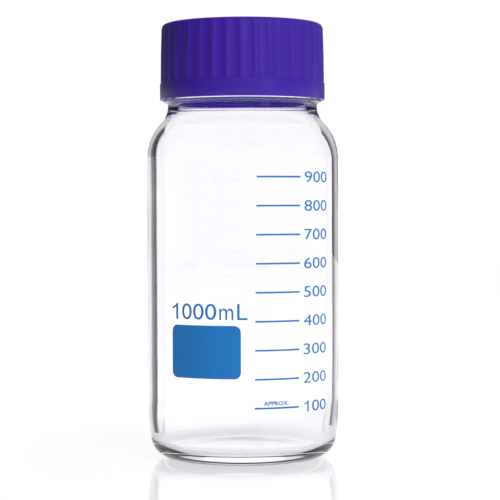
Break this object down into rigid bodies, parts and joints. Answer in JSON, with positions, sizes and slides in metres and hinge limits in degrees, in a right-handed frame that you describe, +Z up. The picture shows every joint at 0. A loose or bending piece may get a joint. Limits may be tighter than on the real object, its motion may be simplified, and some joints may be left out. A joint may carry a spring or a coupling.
{
  "type": "wide-mouth laboratory reagent bottle",
  "caption": "Wide-mouth borosilicate laboratory bottle with rounded shoulder, pouring ring, and a fluted quick-thread screw cap with a seal.",
  "frame": {"origin": "middle of the foot ring, on the plane the bottle stands on", "axes": "+Z up the axis of the bottle and out of its mouth; the printed side faces -Y and +X is to the viewer's right"},
  "size_m": [0.101, 0.101, 0.2282],
  "materials": {
    "borosilicate_glass": "clear fire-polished borosilicate 3.3 glass",
    "ring_polypropylene": "moulded blue polypropylene",
    "cap_polypropylene": "injection-moulded violet-blue polypropylene, satin gloss",
    "silicone_seal": "silicone disc faced with white PTFE on its underside"
  },
  "bodies": {
    "bottle": {"glass_bottle": "borosilicate_glass", "pouring_ring": "ring_polypropylene"},
    "seal": {"cap_seal": "silicone_seal"},
    "cap": {"screw_cap": "cap_polypropylene"}
  },
  "joints": [
    {"name": "seal_lift", "type": "slide", "parent": "bottle", "child": "seal", "axis": [0, 0, 1], "range_m": [0, 0.04]},
    {"name": "cap_turn", "type": "hinge", "parent": "seal", "child": "cap", "pos_m": [0, 0, 0.2252], "axis": [0, 0, 1], "range_deg": [0, 900]}
  ],
  "couplings": [
    {"joint": "seal_lift", "follows": "cap_turn", "m_per_rad": 0.0025465}
  ]
}
